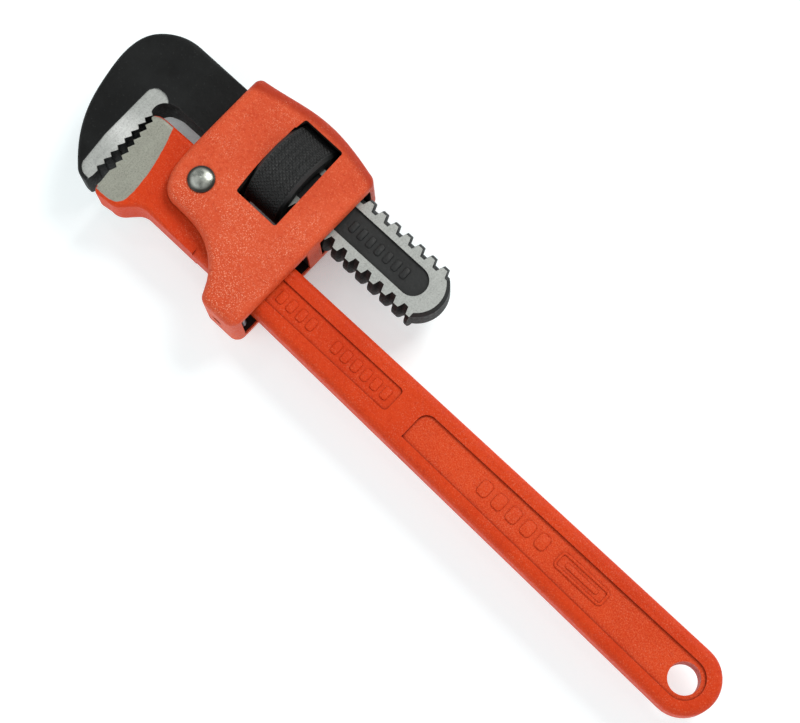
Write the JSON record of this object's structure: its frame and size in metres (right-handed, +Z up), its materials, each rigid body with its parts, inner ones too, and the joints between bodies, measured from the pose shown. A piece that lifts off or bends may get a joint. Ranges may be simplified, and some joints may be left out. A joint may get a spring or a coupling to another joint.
{
  "type": "adjustable pipe wrench",
  "caption": "Adjustable pipe wrench with toothed hook and heel jaws, a knurled adjusting nut, a pivoted spring housing and a long handle with a hanging hole.",
  "frame": {"origin": "middle of the underside of the whole tool lying on its side, at rest", "axes": "+X from the hook jaw to the hanging hole, +Y from the handle to the threaded shank, +Z up through the thickness"},
  "size_m": [0.2928, 0.0732, 0.033],
  "materials": {
    "handle_paint": "satin",
    "frame_paint": "satin",
    "black_oxide": "satin",
    "nut_black": "satin",
    "rivet_steel": "satin",
    "spring_steel": "satin",
    "rivet_dark": "matte"
  },
  "bodies": {
    "handle_body": {"handle": "handle_paint", "frame_pin": "rivet_steel"},
    "housing": {"frame": "frame_paint", "handle_spring": "spring_steel", "handle_spring_rivet": "rivet_dark", "jaw_spring": "spring_steel", "jaw_spring_rivet": "rivet_dark"},
    "hook": {"hook_jaw": "black_oxide"},
    "nut": {"adjusting_nut": "nut_black"}
  },
  "joints": [
    {"name": "frame_rock", "type": "hinge", "parent": "handle_body", "child": "housing", "pos_m": [-0.09415, -0.00681, 0.0165], "axis": [0, 0, 1], "range_deg": [-2, 3], "stiffness_Nm_per_rad": 6, "deforming": ["handle_spring"]},
    {"name": "nut_spin", "type": "hinge", "parent": "housing", "child": "nut", "pos_m": [-0.07575, 0.01739, 0.0165], "axis": [1, 0, 0], "range_deg": [0, 2828.6]},
    {"name": "jaw_slide", "type": "slide", "parent": "housing", "child": "hook", "axis": [-1, 0, 0], "range_m": [0, 0.044], "deforming": ["jaw_spring"]}
  ],
  "couplings": [
    {"joint": "nut_spin", "follows": "jaw_slide", "rad_per_m": 1122}
  ]
}
